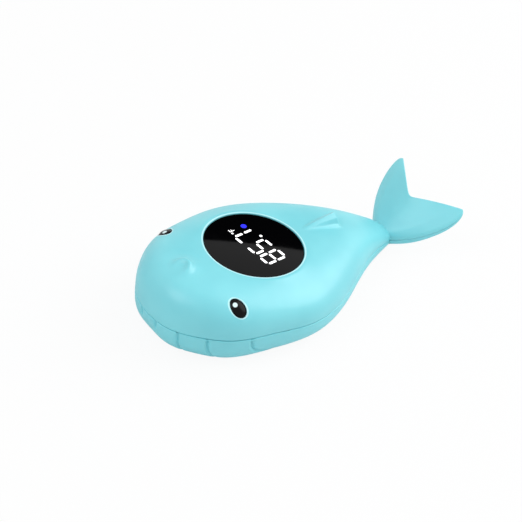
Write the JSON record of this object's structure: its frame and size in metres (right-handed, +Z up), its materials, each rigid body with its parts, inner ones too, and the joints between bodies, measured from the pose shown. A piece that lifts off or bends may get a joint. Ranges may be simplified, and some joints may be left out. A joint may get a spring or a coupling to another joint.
{
  "type": "baby bath thermometer",
  "caption": "Floating bath thermometer in a whale shape: two moulded shells, flush round digital display, sealed battery bay and a steel probe in the flat belly.",
  "frame": {"origin": "bottom centre of the bounding box, under the body, on the surface that the belly rests on", "axes": "-Y out of the head, +Y out of the tail, +X to the side whose eye faces the picture's camera, +Z up through the display"},
  "size_m": [0.0636, 0.129, 0.0314],
  "materials": {
    "shell_plastic": "satin turquoise moulded plastic",
    "silicone": "pale grey silicone",
    "lens": "black tinted gloss",
    "lit_digits": "white diffuser",
    "blue_lamp": "blue lamp lens",
    "circuit_board": "green solder mask",
    "black_moulding": "black epoxy moulding",
    "eye_gloss": "polished black",
    "steel": "bright stainless steel",
    "cell_sleeve": "printed foil sleeve",
    "red_lead": "red insulation",
    "black_lead": "black insulation"
  },
  "bodies": {
    "root": {"upper_shell": "shell_plastic", "lower_shell": "shell_plastic", "battery_door": "shell_plastic", "seam_gasket": "silicone", "display_lens": "lens", "lens_gasket": "silicone", "digit_module": "lit_digits", "unit_lamp": "lit_digits", "indicator_lamp": "blue_lamp", "main_board": "circuit_board", "controller_chip": "black_moulding", "board_screw_1": "steel", "board_screw_2": "steel", "board_screw_3": "steel", "eye_left": "eye_gloss", "eye_right": "eye_gloss", "shell_screw_1": "steel", "shell_screw_2": "steel", "shell_screw_3": "steel", "shell_screw_4": "steel", "door_screw_front": "steel", "door_screw_rear": "steel", "door_gasket": "silicone", "battery_left": "cell_sleeve", "battery_right": "cell_sleeve", "contact_bridge": "steel", "terminal_positive": "steel", "terminal_negative": "steel", "spring_front": "steel", "spring_rear": "steel", "probe_cap": "steel", "thermistor": "black_moulding", "contact_pin_left": "steel", "contact_pin_right": "steel", "battery_lead_positive": "red_lead", "battery_lead_negative": "black_lead", "sensor_lead_left": "black_lead", "sensor_lead_right": "black_lead", "pin_lead_left": "black_lead", "pin_lead_right": "black_lead"}
  },
  "joints": []
}
